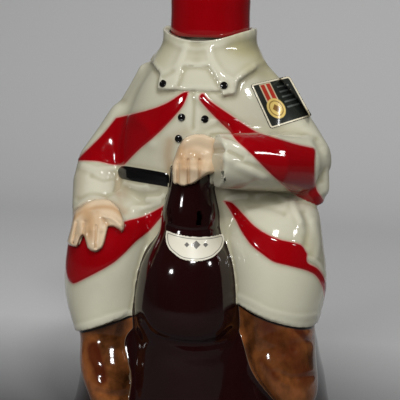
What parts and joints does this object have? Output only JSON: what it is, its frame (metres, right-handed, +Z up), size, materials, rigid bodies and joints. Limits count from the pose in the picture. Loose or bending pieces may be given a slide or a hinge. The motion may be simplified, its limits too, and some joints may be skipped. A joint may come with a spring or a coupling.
{
  "type": "figural liquor decanter",
  "caption": "Glazed ceramic liquor decanter shaped as a seated figure in a pale coat holding a dark bottle between its knees, with a lift-out head stopper on a cork.",
  "frame": {"origin": "centre of the round foot ring, on the surface it stands on", "axes": "+Z up along the pour neck's axis, the figure faces -Y, its right side is towards -X"},
  "size_m": [0.12, 0.12, 0.2475],
  "materials": {
    "cream_glaze": "glossy cream glaze over cast ceramic",
    "red_glaze": "glossy red glaze over cast ceramic",
    "flesh_glaze": "glossy flesh-coloured glaze over cast ceramic",
    "brown_black_glaze": "glossy brown-black glaze over cast ceramic",
    "amber_glaze": "mottled amber-brown glaze over cast ceramic",
    "black_glaze": "glossy black glaze over cast ceramic",
    "hair_glaze": "glossy dark-brown glaze over cast ceramic",
    "label_paper": "cream paper label, lightly glossed",
    "label_foil": "black foil-faced paper label with a cream border and coloured motifs",
    "stopper_cork": "natural cork, matte"
  },
  "bodies": {
    "vessel": {"base_shell": "brown_black_glaze", "coat_shell": "cream_glaze", "pour_neck": "red_glaze", "coat_collar": "cream_glaze", "held_bottle": "brown_black_glaze", "bottle_label": "label_paper", "right_trouser_leg": "cream_glaze", "left_trouser_leg": "cream_glaze", "right_boot": "amber_glaze", "left_boot": "amber_glaze", "right_sleeve": "cream_glaze", "left_sleeve": "cream_glaze", "right_hand": "flesh_glaze", "left_hand": "flesh_glaze", "right_lapel": "red_glaze", "left_lapel": "red_glaze", "right_thigh_band": "red_glaze", "left_thigh_band": "red_glaze", "coat_belt": "black_glaze", "collar_buttons": "black_glaze", "coat_buttons": "black_glaze", "shoulder_label": "label_foil"},
    "stopper": {"roll_neck": "red_glaze", "head": "flesh_glaze", "hair": "hair_glaze", "stopper_cork": "stopper_cork"}
  },
  "joints": [
    {"name": "stopper_lift", "type": "slide", "parent": "vessel", "child": "stopper", "axis": [0, 0, 1], "range_m": [0, 0.045]}
  ]
}
